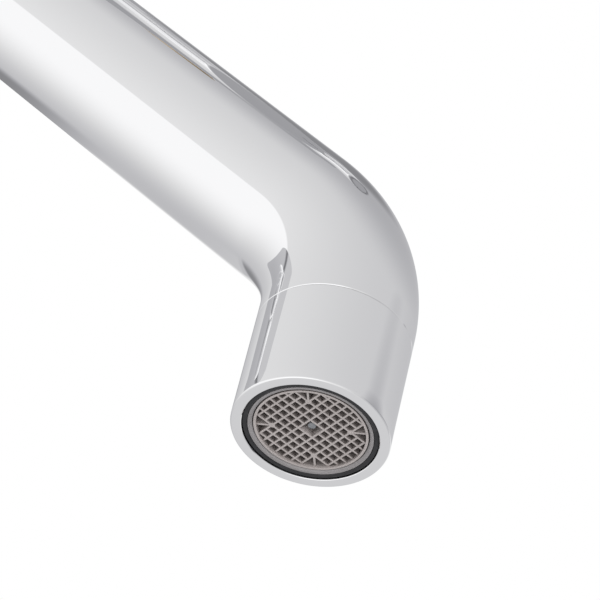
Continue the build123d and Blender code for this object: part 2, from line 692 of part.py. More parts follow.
def valve_body():
    t, f = TEMPERATURE_Z, FLOW_Z
    spine = block(
        SPINE_X - SPINE_WIDTH / 2, SPINE_X + SPINE_WIDTH / 2,
        BODY_BACK - SPINE_DEPTH, BODY_BACK, -SPINE_FOOT, t,
    )
    spine = fillet(spine.edges().filter_by(Axis.Z), SPINE_EDGE)
    body = spine + rod_y(MIXER_BOSS_R, BODY_FRONT, BODY_BACK, z=t)
    body += rod_y(DIVERTER_BOSS_R, BODY_FRONT, BODY_BACK - PASSAGE_R, z=f)
    body += rod_y(SPOUT_BOSS_R, BODY_FRONT, BODY_BACK - PASSAGE_R)
    body += rod_x(INLET_ARM_R, -INLET_REACH, INLET_REACH, INLET_Y, t)
    body += rod_x(SHOWER_ARM_R, 0, SHOWER_REACH, PASSAGE_Y, f)

    body -= rod_y(MIXER_R, BODY_FRONT, CHAMBER_BACK, z=t)
    body -= rod_y(DIVERTER_R, BODY_FRONT, DIVERTER_BOTTOM, z=f)
    body -= rod_y(PIPE_THREAD_R, BODY_FRONT, BODY_FRONT + SPOUT_SOCKET_DEPTH)
    body -= rod_y(CONNECTOR_BORE_R, BODY_FRONT, PASSAGE_Y)

    body -= rod_z(PASSAGE_R, f - PASSAGE_R, t + MIXER_BOSS_R, 0, PASSAGE_Y)
    body -= rod_z(PLUG_R, t + MIXER_BOSS_R - PLUG_DEPTH, t + MIXER_BOSS_R, 0, PASSAGE_Y)
    body -= rod_z(PASSAGE_R, -SPINE_FOOT, f + PASSAGE_R, -PORT_CIRCLE_R, PASSAGE_Y)
    body -= rod_z(PLUG_R, -SPINE_FOOT, -SPINE_FOOT + PLUG_DEPTH, -PORT_CIRCLE_R, PASSAGE_Y)
    body -= rod_x(CROSS_R, -PORT_CIRCLE_R, 0, PASSAGE_Y, 0)
    body -= rod_x(PASSAGE_R, PORT_CIRCLE_R - CROSS_R, SHOWER_REACH, PASSAGE_Y, f)
    body -= rod_x(PIPE_THREAD_R, SHOWER_REACH - PIPE_THREAD_DEPTH, SHOWER_REACH, PASSAGE_Y, f)
    for x in (-PORT_CIRCLE_R, 0, PORT_CIRCLE_R):
        body -= rod_y(DISC_PORT_R, DIVERTER_BOTTOM, PASSAGE_Y, x=x, z=f)

    for side, port_y in ((-1, HOT_Y), (1, COLD_Y)):
        thread_end = side * (INLET_REACH - PIPE_THREAD_DEPTH)
        body -= rod_x(PIPE_THREAD_R, side * INLET_REACH, thread_end, INLET_Y, t)
        body -= rod_x(CHECK_BORE_R, thread_end, side * CHECK_BORE_INNER, INLET_Y, t)
        body -= rod_x(INLET_PORT_R, side * CHECK_BORE_INNER, side * MIXER_R / 2, port_y, t)
    for z in body_screw_places():
        body -= rod_y(BODY_SCREW_R, BODY_BACK - BODY_SCREW_DEPTH, BODY_BACK, x=SPINE_X - SPINE_EDGE, z=z)
    return body


def body_screw_places():
    return [BODY_SCREW_INSET, TEMPERATURE_Z - BODY_SCREW_INSET]


def passage_plug(x, z, up):
    """Screwed plug in a drilled passage, with its head on the outside."""
    depth = PLUG_DEPTH - FIT
    shank = rod_z(PLUG_R - FIT, z - up * depth, z, x, PASSAGE_Y)
    head = rod_z(PLUG_HEAD_R, z, z + up * PLUG_HEAD, x, PASSAGE_Y)
    top = z + up * PLUG_HEAD
    socket = rod_z(PLUG_HEAD_R / 3, top - up * PLUG_HEAD, top, x, PASSAGE_Y)
    return shank + head - socket


def passage_plugs():
    return [
        passage_plug(0, TEMPERATURE_Z + MIXER_BOSS_R, 1),
        passage_plug(-PORT_CIRCLE_R, -SPINE_FOOT, -1),
    ]


def ring_nut(thread_r, z):
    """Nut that holds a cartridge, with a threaded neck for the trim sleeve."""
    body = rod_y(thread_r - FIT, BODY_FRONT, NUT_BACK, z=z)
    body += rod_y(NUT_NECK_R, BODY_FRONT - NUT_NECK, BODY_FRONT, z=z)
    return body - rod_y(NECK_R + FIT, BODY_FRONT - NUT_NECK, NUT_BACK, z=z)


# Thermostatic cartridge


def ring_groove(outer, y, z):
    depth = 2 * RING_R + FIT
    half = RING_GROOVE / 2
    return tube_y(outer + OVERRUN, outer - depth, y - half, y + half, z=z)


def mixer_ring_places():
    return [COLD_Y - PORT_SPACING / 2, INLET_Y, HOT_Y + PORT_SPACING / 2]


def cartridge_housing():
    z = TEMPERATURE_Z
    outer = MIXER_R - FIT
    body = rod_y(outer, NUT_BACK, MIXER_BACK, z=z)
    body -= rod_y(BONNET_SHOULDER_R + FIT, NUT_BACK, BONNET_BACK, z=z)
    body -= rod_y(GUIDE_R, BONNET_BACK, GUIDE_BACK, z=z)
    body -= rod_y(MIXER_BORE_R, GUIDE_BACK, MIXER_BACK, z=z)
    key = NUT_KEY_R + LOOSE
    half = NUT_KEY_WIDTH / 2 + LOOSE
    body -= block(-key, key, BONNET_BACK, GUIDE_BACK, z - half, z + half)
    for port_y in (COLD_Y, HOT_Y):
        low, high = port_y - PORT_GROOVE / 2, port_y + PORT_GROOVE / 2
        body -= tube_y(MIXER_R, PORT_GROOVE_R, low, high, z=z)
        for turn in (0, 60, 120):
            slot = block(
                -PORT_WIDTH / 2, PORT_WIDTH / 2,
                port_y - PORT_HEIGHT / 2, port_y + PORT_HEIGHT / 2,
                -PORT_GROOVE_R - OVERRUN, PORT_GROOVE_R + OVERRUN,
            )
            body -= Pos(0, 0, z) * Rot(0, turn, 0) * slot
    for y in mixer_ring_places():
        body -= ring_groove(outer, y, z)
    return body


def cartridge_o_rings():
    return [ring_y(MIXER_R - FIT / 2, RING_R, y, TEMPERATURE_Z) for y in mixer_ring_places()]


def cartridge_screens():
    """Fine screens in the two port grooves."""
    screens = []
    for port_y in (COLD_Y, HOT_Y):
        half = PORT_GROOVE / 2 - FIT
        inner = PORT_GROOVE_R + FIT
        ring = tube_y(inner + SCREEN_THICK, inner, port_y - half, port_y + half)
        for i in range(SCREEN_HOLES // 2):
            slot = Box(SCREEN_SLOT, PORT_GROOVE / 2, 4 * PORT_GROOVE_R)
            ring -= Pos(0, port_y, 0) * Rot(0, 360 * i / SCREEN_HOLES, 0) * slot
        screens.append(Pos(0, 0, TEMPERATURE_Z) * ring)
    return screens


def cartridge_bonnet():
    z = TEMPERATURE_Z
    body = rod_y(NECK_R, NECK_FRONT, NUT_BACK, z=z)
    body += rod_y(BONNET_SHOULDER_R, NUT_BACK, BONNET_BACK, z=z)
    body -= rod_y(SPINDLE_R + FIT, NECK_FRONT, BONNET_BACK, z=z)
    return body - rod_y(SPINDLE_FLANGE_R + FIT, BONNET_BACK - SPINDLE_FLANGE - FIT, BONNET_BACK, z=z)


def spindle_ring_place():
    return BODY_FRONT


def thermostat_spindle():
    z = TEMPERATURE_Z
    shaft = rod_y(SPINDLE_R, KNOB_INNER + ADAPTER_DISC, BONNET_BACK - FIT, z=z)
    shaft += spindle_shape(SPINDLE_END, KNOB_INNER + ADAPTER_DISC, z)
    flange_end = BONNET_BACK - FIT
    shaft += rod_y(SPINDLE_FLANGE_R, flange_end - SPINDLE_FLANGE + FIT, flange_end, z=z)
    shaft += rod_y(SPINDLE_THREAD_R, BONNET_BACK - FIT, BONNET_BACK + SPINDLE_THREAD, z=z)
    return shaft - ring_groove(SPINDLE_R, spindle_ring_place(), z)


def spindle_o_rings():
    outer = SPINDLE_R + FIT / 2
    return [ring_y(outer, RING_R, spindle_ring_place(), z) for z in (FLOW_Z, TEMPERATURE_Z)]


def regulating_nut():
    z = TEMPERATURE_Z
    body = rod_y(NUT_R, NUT_START, CAP_BACK, z=z)
    half = NUT_KEY_WIDTH / 2
    body += block(-NUT_KEY_R, NUT_KEY_R, NUT_START, CAP_BACK, z - half, z + half)
    body -= rod_y(SPINDLE_THREAD_R + FIT, NUT_START, CAP_BACK, z=z)
    return body - rod_y(NUT_POCKET_R, NUT_START + NUT_HEAD, CAP_BACK, z=z)


def overload_spring():
    room = NUT_POCKET - CAP_THICK
    coil = spring(OVERLOAD_R, OVERLOAD_WIRE, room - 2 * FIT, OVERLOAD_TURNS)
    return Pos(0, NUT_START + NUT_HEAD + FIT, TEMPERATURE_Z) * Rot(-90, 0, 0) * coil


def thrust_cap():
    return rod_y(NUT_POCKET_R - FIT, CAP_BACK - CAP_THICK, CAP_BACK, z=TEMPERATURE_Z)


def wax_element():
    z = TEMPERATURE_Z
    body = rod_y(ROD_R, CAP_BACK, WAX_START, z=z)
    body += rod_y(WAX_R, WAX_START, HUB_START, z=z)
    return body + rod_y(WAX_TAIL_R, HUB_START, HUB_START + WAX_TAIL, z=z)


def mixing_piston():
    z = TEMPERATURE_Z
    outer = MIXER_BORE_R - FIT
    inner = outer - PISTON_WALL
    wall = tube_y(outer, inner, PISTON_START, PISTON_START + PISTON_LENGTH, z=z)
    hub = tube_y(PISTON_HUB_R, WAX_TAIL_R + FIT, HUB_START, HUB_START + PISTON_HUB, z=z)
    body = wall + hub
    for turn in (0, 120, 240):
        spoke = block(
            -SPOKE / 2, SPOKE / 2, HUB_START, HUB_START + PISTON_HUB,
            PISTON_HUB_R - OVERRUN, inner + PISTON_WALL / 2,
        )
        body += Pos(0, 0, z) * Rot(0, turn, 0) * spoke
    return body


def return_spring():
    start = HUB_START + PISTON_HUB
    room = MIXER_BACK - END_RING - start
    coil = spring(RETURN_R, RETURN_WIRE, room - 2 * FIT, RETURN_TURNS)
    return Pos(0, start + FIT, TEMPERATURE_Z) * Rot(-90, 0, 0) * coil


def cartridge_end_ring():
    z = TEMPERATURE_Z
    start = MIXER_BACK - END_RING
    outer = MIXER_BORE_R - FIT
    body = tube_y(outer, outer - SPOKE, start, MIXER_BACK, z=z)
    body += tube_y(PISTON_HUB_R, END_RING_BORE_R, start, MIXER_BACK, z=z)
    for turn in (60, 180, 300):
        root = PISTON_HUB_R - OVERRUN
        spoke = block(-SPOKE / 2, SPOKE / 2, start, MIXER_BACK, root, outer - SPOKE / 2)
        body += Pos(0, 0, z) * Rot(0, turn, 0) * spoke
    return body


# Flow cartridge


def diverter_housing():
    z = FLOW_Z
    body = rod_y(DIVERTER_R - FIT, NUT_BACK, FIXED_DISC_BACK, z=z)
    body += rod_y(NECK_R, NECK_FRONT, NUT_BACK, z=z)
    body -= rod_y(SPINDLE_R + FIT, NECK_FRONT, FIXED_DISC_BACK, z=z)
    return body - rod_y(DISC_R + FIT, CARRIER_FRONT - LOOSE, FIXED_DISC_BACK, z=z)


def dogs(z, gap=0.0):
    """Two dogs that turn the moving disc."""
    half = DOG_WIDTH / 2 + gap
    reach = DISC_R - 2 * FIT
    low = DISC_R / 2 - gap
    pair = block(-reach, -low, CARRIER_BACK, CARRIER_BACK + DOG_HEIGHT + gap, z - half, z + half)
    pair += block(low, reach, CARRIER_BACK, CARRIER_BACK + DOG_HEIGHT + gap, z - half, z + half)
    return pair


def diverter_spindle():
    z = FLOW_Z
    shaft = rod_y(SPINDLE_R, KNOB_INNER + ADAPTER_DISC, CARRIER_FRONT, z=z)
    shaft += spindle_shape(SPINDLE_END, KNOB_INNER + ADAPTER_DISC, z)
    carrier = rod_y(DISC_R - FIT, CARRIER_FRONT, CARRIER_BACK, z=z)
    inside = rod_y(DISC_R - 2 * FIT, CARRIER_BACK, CARRIER_BACK + DOG_HEIGHT, z=z)
    shaft += carrier + (dogs(z) & inside)
    return shaft - ring_groove(SPINDLE_R, spindle_ring_place(), z)


def moving_disc():
    z = FLOW_Z
    body = rod_y(DISC_R - FIT, CARRIER_BACK, MOVING_DISC_BACK, z=z)
    body -= dogs(z, FIT)
    start = MOVING_DISC_BACK - DISC_THICK / 2 + LOOSE
    slot = block(-DISC_PORT_R, DISC_PORT_R, start, MOVING_DISC_BACK, z, z + PORT_CIRCLE_R)
    slot += rod_y(DISC_PORT_R, start, MOVING_DISC_BACK, z=z)
    slot += rod_y(DISC_PORT_R, start, MOVING_DISC_BACK, z=z + PORT_CIRCLE_R)
    return body - slot


def ported(body, start, end):
    for x in (-PORT_CIRCLE_R, 0, PORT_CIRCLE_R):
        body -= rod_y(DISC_PORT_R, start, end, x=x, z=FLOW_Z)
    return body


def fixed_disc():
    body = rod_y(DISC_R, MOVING_DISC_BACK, FIXED_DISC_BACK, z=FLOW_Z)
    return ported(body, MOVING_DISC_BACK, FIXED_DISC_BACK)


def diverter_seal():
    body = rod_y(DIVERTER_R - FIT, FIXED_DISC_BACK, DIVERTER_BOTTOM, z=FLOW_Z)
    return ported(body, FIXED_DISC_BACK, DIVERTER_BOTTOM)


# Inlets


def inlet_strainer(side):
    start = CHECK_OUTER
    body = rod_x(CHECK_BORE_R - FIT, side * start, side * (start + STRAINER_THICK), INLET_Y, TEMPERATURE_Z)
    for count, circle in ((1, 0.0), (6, 2.6), (12, 5.2)):
        for y, z in around(count, circle):
            body -= rod_x(
                STRAINER_HOLE_R, side * start, side * (start + STRAINER_THICK),
                INLET_Y + y, TEMPERATURE_Z + z,
            )
    return body


def check_housing(side):
    y, z = INLET_Y, TEMPERATURE_Z
    inner, outer = side * CHECK_INNER, side * CHECK_OUTER
    body = rod_x(CHECK_BORE_R - FIT, inner, outer, y, z)
    body -= rod_x(CHECK_BORE, inner, outer - side * CHECK_SEAT, y, z)
    body -= rod_x(CHECK_SEAT_R, inner, outer, y, z)
    guide = rod_x(POPPET_STEM_R + SPIDER, inner, inner + side * SPIDER, y, z)
    for turn in (0, 60, 120):
        bar = Box(SPIDER, SPOKE, 2 * CHECK_BORE + SPIDER)
        guide += Pos(inner + side * SPIDER / 2, y, z) * Rot(turn, 0, 0) * bar
    return body + guide - rod_x(POPPET_STEM_R + FIT, inner, inner + side * SPIDER, y, z)


def poppet_face():
    return CHECK_OUTER - CHECK_SEAT - FIT


def check_poppet(side):
    y, z = INLET_Y, TEMPERATURE_Z
    face = poppet_face()
    body = rod_x(POPPET_R, side * (face - POPPET_THICK), side * face, y, z)
    tip = CHECK_BORE_INNER + POPPET_TRAVEL + LOOSE
    return body + rod_x(POPPET_STEM_R, side * tip, side * face, y, z)


def check_spring(side):
    start = CHECK_INNER + SPIDER + FIT
    room = poppet_face() - POPPET_THICK - FIT - start
    coil = spring(CHECK_SPRING_R, CHECK_WIRE, room, CHECK_TURNS)
    return Pos(side * start, INLET_Y, TEMPERATURE_Z) * Rot(0, side * 90, 0) * coil


# Bracket


def wall_bracket():
    start, end = BODY_BACK, BODY_BACK + BRACKET_THICK
    outline = RectangleRounded(BRACKET_WIDTH, BRACKET_HEIGHT, BRACKET_CORNER)
    cut_w = (BRACKET_WIDTH - BRACKET_WAIST) / 2
    cut_h = BRACKET_HEIGHT - 2 * BRACKET_EAR
    for side in (-1, 1):
        outline -= Pos(side * (BRACKET_WIDTH - cut_w) / 2) * Rectangle(cut_w, cut_h)
    body = Pos(0, end, PLATE_MID) * Rot(90, 0, 0) * extrude(outline, end - start)
    for x in (-HOLE_SPACING_X / 2, HOLE_SPACING_X / 2):
        for z in (-HOLE_SPACING_Z / 2, HOLE_SPACING_Z / 2):
            body -= rod_y(BRACKET_HOLE_R, start, end, x=x, z=PLATE_MID + z)
    for z in body_screw_places():
        body -= rod_y(BODY_SCREW_R + LOOSE, start, end, x=SPINE_X - SPINE_EDGE, z=z)
    return body


def bracket_screws():
    screws = []
    back = BODY_BACK + BRACKET_THICK
    for z in body_screw_places():
        x = SPINE_X - SPINE_EDGE
        screw = rod_y(BODY_SCREW_R - FIT, BODY_BACK - BODY_SCREW_DEPTH + LOOSE, back, x=x, z=z)
        head = rod_y(BODY_SCREW_HEAD_R, back, back + BODY_SCREW_HEAD, x=x, z=z)
        socket = extrude(RegularPolygon(BODY_SCREW_R, 6), BODY_SCREW_HEAD / 2)
        head -= Pos(x, back + BODY_SCREW_HEAD, z) * Rot(90, 0, 0) * socket
        screws.append(screw + head)
    return screws


def build():
    jet, regulator, strainer = aerator_stack()
    return {
        "cover_plate": cover_plate(),
        "plate_seal": plate_seal(),
        "temperature_sleeve": trim_sleeve(TEMPERATURE_Z),
        "flow_sleeve": trim_sleeve(FLOW_Z),
        "spout_collar": spout_collar(),
        "spout_tube": spout_tube(),
        "outlet_sleeve": outlet_sleeve(),
        "aerator_housing": aerator_housing(),
        "aerator_grid": aerator_grid(),
        "aerator_pin": aerator_pin(),
        "aerator_seal_ring": aerator_seal_ring(),
        "aerator_jet_plate": jet,
        "flow_regulator": regulator,
        "aerator_strainer": strainer,
        "aerator_washer": aerator_washer(),
        "spout_connector": spout_connector(),
        "spout_o_rings": spout_o_rings(),
        "spout_grub_screw": spout_grub_screw(),
        "temperature_knob": temperature_knob(),
        "temperature_adapter": temperature_adapter(),
        "temperature_dial": temperature_dial(),
        "temperature_grub_screw": knob_screw(TEMPERATURE_Z),
        "temperature_screw_cap": screw_cap(TEMPERATURE_Z),
        "safety_button": safety_button(),
        "button_spring": button_spring(),
        "temperature_stop_ring": temperature_stop_ring(),
        "flow_knob": knob(FLOW_Z),
        "flow_adapter": adapter(FLOW_Z),
        "flow_grub_screw": knob_screw(FLOW_Z),
        "flow_screw_cap": screw_cap(FLOW_Z),
        "valve_body": valve_body(),
        "passage_plugs": passage_plugs(),
        "cartridge_housing": cartridge_housing(),
        "cartridge_bonnet": cartridge_bonnet(),
        "cartridge_nut": ring_nut(MIXER_R, TEMPERATURE_Z),
        "cartridge_o_rings": cartridge_o_rings(),
        "cartridge_screens": cartridge_screens(),
        "thermostat_spindle": thermostat_spindle(),
        "spindle_o_rings": spindle_o_rings(),
        "regulating_nut": regulating_nut(),
        "overload_spring": overload_spring(),
        "thrust_cap": thrust_cap(),
        "wax_element": wax_element(),
        "mixing_piston": mixing_piston(),
        "return_spring": return_spring(),
        "cartridge_end_ring": cartridge_end_ring(),
        "diverter_nut": ring_nut(DIVERTER_R, FLOW_Z),
        "diverter_housing": diverter_housing(),
        "diverter_spindle": diverter_spindle(),
        "moving_disc": moving_disc(),
        "fixed_disc": fixed_disc(),
        "diverter_seal": diverter_seal(),
        "inlet_strainers": [inlet_strainer(-1), inlet_strainer(1)],
        "check_valve_housings": [check_housing(-1), check_housing(1)],
        "hot_check_poppet": check_poppet(-1),
        "cold_check_poppet": check_poppet(1),
        "hot_check_spring": check_spring(-1),
        "cold_check_spring": check_spring(1),
        "wall_bracket": wall_bracket(),
        "bracket_screws": bracket_screws(),
    }


def solids_of(shape):
    """All solids of a shape or of a list of shapes."""
    pieces = shape if isinstance(shape, list) else [shape]
    return [solid for piece in pieces for solid in piece.solids()]


for name, shape in build().items():
    solids = solids_of(shape)
    whole = solids[0] if len(solids) == 1 else Compound(children=solids)
    export_step(whole, f"parts/{name}.step")
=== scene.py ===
"""Looks, camera and studio of the concealed thermostatic bath and shower set."""

import json
import math

import bmesh
import bpy
from mathutils import Matrix, Vector


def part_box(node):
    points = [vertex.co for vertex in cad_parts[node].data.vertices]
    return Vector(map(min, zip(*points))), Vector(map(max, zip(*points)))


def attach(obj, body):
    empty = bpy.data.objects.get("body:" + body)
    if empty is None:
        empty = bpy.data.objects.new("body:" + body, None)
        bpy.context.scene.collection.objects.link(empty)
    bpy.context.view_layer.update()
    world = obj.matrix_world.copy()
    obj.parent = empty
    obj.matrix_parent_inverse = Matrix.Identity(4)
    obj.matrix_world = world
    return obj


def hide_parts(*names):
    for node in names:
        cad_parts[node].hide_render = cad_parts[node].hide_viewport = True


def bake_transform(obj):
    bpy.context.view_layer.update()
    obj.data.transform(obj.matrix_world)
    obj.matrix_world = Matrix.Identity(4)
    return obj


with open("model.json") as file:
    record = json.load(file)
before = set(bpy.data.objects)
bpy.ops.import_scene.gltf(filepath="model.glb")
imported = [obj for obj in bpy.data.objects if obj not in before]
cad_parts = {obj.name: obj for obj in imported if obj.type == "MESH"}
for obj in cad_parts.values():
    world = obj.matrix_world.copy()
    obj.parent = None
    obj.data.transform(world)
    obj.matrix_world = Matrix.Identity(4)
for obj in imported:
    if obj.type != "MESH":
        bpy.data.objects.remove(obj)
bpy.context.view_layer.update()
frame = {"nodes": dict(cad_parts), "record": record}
NODES = frame["nodes"]
MM = 0.001

# Spout, as built in CAD
TUBE_R = 14.0 * MM
BORE_R = 12.0 * MM
SPIGOT_R = 13.0 * MM
SPIGOT_LENGTH = 7.0 * MM
REACH = 190.0 * MM
BEND = math.radians(50.0)
BEND_R = 33.0 * MM
OUTLET_LEG = 25.7 * MM
SLEEVE = 22.1 * MM
SEAM_BREAK = 0.12 * MM
OUTLET_EDGE = 0.3 * MM
TUBE_START = -6.0 * MM
SCREW_Y = -21.0 * MM
SCREW_HOLE_R = 2.55 * MM
AROUND = 192                # points round the tube
BEND_STEPS = 48
STRAIGHT_STEPS = 12
SLEEVE_STEPS = 8
EDGE_STEPS = 8              # points of the rolled rim's quarter circle
HOLE_SIDES = 64
SHARP_ANGLE = math.radians(25)

# Outlet sleeve's bore
MOUTH_R = 12.05 * MM
MOUTH_DEPTH = 13.0 * MM
THROAT_R = 9.5 * MM
SOCKET_R = 13.05 * MM
SOCKET_DEPTH = 7.05 * MM
FIT = 0.05 * MM

TANGENT = BEND_R * math.tan(BEND / 2)
OUT = Vector((0, -math.cos(BEND), -math.sin(BEND)))
OUTLET = Vector((0, -REACH, -(TANGENT + OUTLET_LEG) * math.sin(BEND)))
BEND_START = -REACH + (TANGENT + OUTLET_LEG) * math.cos(BEND) + TANGENT

# Controls
FLOW_Z = 90.0 * MM
TEMPERATURE_Z = 180.0 * MM
# Angles on the dial, in degrees clockwise from its top
DIAL_NUMBERS = {"20": 180, "30": -80, "38": 0, "44": 45, "50": 90}
DIAL_TICKS = (-140, -110, -55, -28, 22, 67, 135)
NUMBER_CIRCLE = 19.9 * MM
NUMBER_SIZE = 4.2 * MM
PRINT_HEIGHT = 0.04 * MM
TICK = (18.6 * MM, 21.2 * MM, 0.45 * MM)        # inner end, outer end and width
POINTER = (15.0 * MM, 22.0 * MM, 1.1 * MM)
PLATE_MARK = (28.5 * MM, 33.5 * MM, 0.9 * MM)

# Springs: the bodies at their start and end, and the way from one to the other
SPRINGS = (
    ("button_spring", "temperature_control", "safety_button", (0, 0, 1)),
    ("return_spring", "mixing_slide", "fixed_parts", (0, 1, 0)),
    ("hot_check_spring", "hot_check", "fixed_parts", (1, 0, 0)),
    ("cold_check_spring", "cold_check", "fixed_parts", (-1, 0, 0)),
)

# Camera of the photograph
CAMERA_RIGHT = Vector((0.10342, -0.62988, 0.76977))
CAMERA_UP = Vector((-0.69804, 0.50536, 0.50730))
CAMERA_FROM_OUTLET = Vector((-433.35, -334.93, -218.06))        # mm
CAMERA_SHIFT_RIGHT = -0.02
CAMERA_SHIFT_UP = 0.15
SENSOR_WIDTH = 36.0
FOCAL_PIXELS = 3448
PICTURE_PIXELS = 600

# Studio: directions that surfaces mirror, and tones in them
WALL_TONE = 0.755
WALL_FALL = -0.14           # change of the walls' tone from the horizon to straight up
BEYOND = (0.25, 0.65, 0.72)
BEYOND_CORE = (0.33, 0.63, 0.70)
CEILING = (0.15, -0.62, 0.78)
BEHIND_CAMERA = (-0.05, -1, 0.05)
ACROSS_TABLE_EDGE = (0.53, 0, -0.848)
WHITE = (1, 1, 1, 1)
FLOOR_Z = -0.62
FLOOR_HALF = 3.0
FLOOR_WHITE = (0.97, 0.97, 0.97, 1)
FLOOR_WHITE_SHARE = 0.72


# Node helpers


class Maths:
    """Short names for the math nodes of one node tree."""

    def __init__(self, tree):
        self.tree = tree

    def node(self, kind, **values):
        made = self.tree.nodes.new(kind)
        for key, value in values.items():
            setattr(made, key, value)
        return made

    def plug(self, socket, value):
        if isinstance(value, bpy.types.NodeSocket):
            self.tree.links.new(value, socket)
        else:
            socket.default_value = value

    def math(self, operation, a, b=0.0):
        made = self.node("ShaderNodeMath", operation=operation)
        self.plug(made.inputs[0], a)
        self.plug(made.inputs[1], b)
        return made.outputs[0]

    def dot(self, vector, direction):
        made = self.node("ShaderNodeVectorMath", operation="DOT_PRODUCT")
        self.plug(made.inputs[0], vector)
        made.inputs[1].default_value = Vector(direction).normalized()
        return made.outputs["Value"]

    def ramp(self, value, low, high, start=0.0, end=1.0):
        """Smooth step from start at low to end at high."""
        made = self.node("ShaderNodeMapRange", interpolation_type="SMOOTHSTEP")
        self.plug(made.inputs["Value"], value)
        made.inputs["From Min"].default_value = low
        made.inputs["From Max"].default_value = high
        made.inputs["To Min"].default_value = start
        made.inputs["To Max"].default_value = end
        return made.outputs["Result"]

    def mix(self, factor, a, b):
        made = self.node("ShaderNodeMix", data_type="FLOAT")
        self.plug(made.inputs["Factor"], factor)
        self.plug(made.inputs[2], a)
        self.plug(made.inputs[3], b)
        return made.outputs[0]

    def mix_colour(self, factor, a, b):
        made = self.node("ShaderNodeMix", data_type="RGBA")
        self.plug(made.inputs["Factor"], factor)
        self.plug(made.inputs[6], a)
        self.plug(made.inputs[7], b)
        return made.outputs[2]

    def noise(self, scale, detail=2.0, stretch=(1, 1, 1)):
        """Noise in object coordinates, at a scale in cells per metre."""
        place = self.node("ShaderNodeTexCoord").outputs["Object"]
        mapping = self.node("ShaderNodeMapping")
        mapping.inputs["Scale"].default_value = stretch
        self.plug(mapping.inputs["Vector"], place)
        made = self.node("ShaderNodeTexNoise")
        made.inputs["Scale"].default_value = scale
        made.inputs["Detail"].default_value = detail
        self.plug(made.inputs["Vector"], mapping.outputs[0])
        return made.outputs["Fac"]

    def bump(self, height, strength, distance):
        made = self.node("ShaderNodeBump")
        made.inputs["Strength"].default_value = strength
        made.inputs["Distance"].default_value = distance
        self.plug(made.inputs["Height"], height)
        return made.outputs["Normal"]


def new_material(name, colour, roughness, metallic=0.0):
    """Principled material, its maths helper and its shader."""
    material = bpy.data.materials.new(name)
    material.use_nodes = True
    shader = material.node_tree.nodes["Principled BSDF"]
    shader.inputs["Base Color"].default_value = (*colour, 1)
    shader.inputs["Roughness"].default_value = roughness
    shader.inputs["Metallic"].default_value = metallic
    return material, Maths(material.node_tree), shader


def vary(maths, shader, colour, other, factor):
    """Base colour between two colours by a factor."""
    maths.plug(shader.inputs["Base Color"], maths.mix_colour(factor, (*colour, 1), (*other, 1)))


# Materials


def chrome():
    material, m, shader = new_material("chrome", (0.94, 0.94, 0.945), 0.03, 1.0)
    haze = m.ramp(m.noise(60.0, 4.0), 0.35, 0.75, 0.018, 0.045)
    m.plug(shader.inputs["Roughness"], haze)
    m.plug(shader.inputs["Normal"], m.bump(m.noise(900.0, 2.0), 0.02, 0.02 * MM))
    return material


def plastic(name, colour, other, roughness, grain=2500.0, depth=0.02):
    """Moulded plastic: slow colour variation, fine grain and uneven gloss."""
    material, m, shader = new_material(name, colour, roughness)
    vary(m, shader, colour, other, m.ramp(m.noise(160.0, 3.0), 0.3, 0.7))
    gloss = m.ramp(m.noise(grain / 3), 0.3, 0.7, roughness - 0.08, roughness + 0.08)
    m.plug(shader.inputs["Roughness"], gloss)
    m.plug(shader.inputs["Normal"], m.bump(m.noise(grain, 2.0), 0.3, depth * MM))
    return material


def grid_plastic():
    """Taupe plastic with painted shade: ambient occlusion darkens its colour inside the narrow
    cells of the grid.
    """
    material, m, shader = new_material("taupe_plastic", (0.50, 0.455, 0.44), 0.42)
    # Painted shade: ambient occlusion blends the base colour to near black in the cells and
    # recesses
    hollow = m.node("ShaderNodeAmbientOcclusion", samples=8)
    hollow.inputs["Distance"].default_value = 1.6 * MM
    shade = m.ramp(hollow.outputs["AO"], 0.15, 0.85, 0.22, 1.0)
    patches = m.ramp(m.noise(160.0, 3.0), 0.3, 0.7)
    colour = m.mix_colour(patches, (0.53, 0.485, 0.47, 1), (0.48, 0.435, 0.42, 1))
    m.plug(shader.inputs["Base Color"], m.mix_colour(shade, (0.050, 0.037, 0.032, 1), colour))
    m.plug(shader.inputs["Roughness"], m.ramp(m.noise(800.0), 0.3, 0.7, 0.34, 0.5))
    m.plug(shader.inputs["Normal"], m.bump(m.noise(2500.0, 2.0), 0.3, 0.02 * MM))
    return material


def pin_plastic():
    material = plastic("pin_plastic", (0.36, 0.38, 0.41), (0.50, 0.52, 0.54), 0.2)
    shader = material.node_tree.nodes["Principled BSDF"]
    shader.inputs["Transmission Weight"].default_value = 0.35
    return material


def rubber(name, colour, roughness):
    material, m, shader = new_material(name, colour, roughness)
    bloom = tuple(min(1.0, 2.2 * c) for c in colour)
    vary(m, shader, colour, bloom, m.ramp(m.noise(420.0, 4.0), 0.45, 0.8))
    m.plug(shader.inputs["Normal"], m.bump(m.noise(3000.0, 3.0), 0.4, 0.03 * MM))
    return material


def machined(name, colour, other, roughness, stretch=(1, 30, 1)):
    """Turned or drawn metal, with fine lines along one axis and slight tarnish."""
    material, m, shader = new_material(name, colour, roughness, 1.0)
    vary(m, shader, colour, other, m.ramp(m.noise(90.0, 4.0), 0.35, 0.75))
    lines = m.noise(900.0, 3.0, stretch)
    m.plug(shader.inputs["Roughness"], m.ramp(lines, 0.3, 0.7, roughness - 0.06, roughness + 0.08))
    m.plug(shader.inputs["Normal"], m.bump(lines, 0.25, 0.015 * MM))
    return material


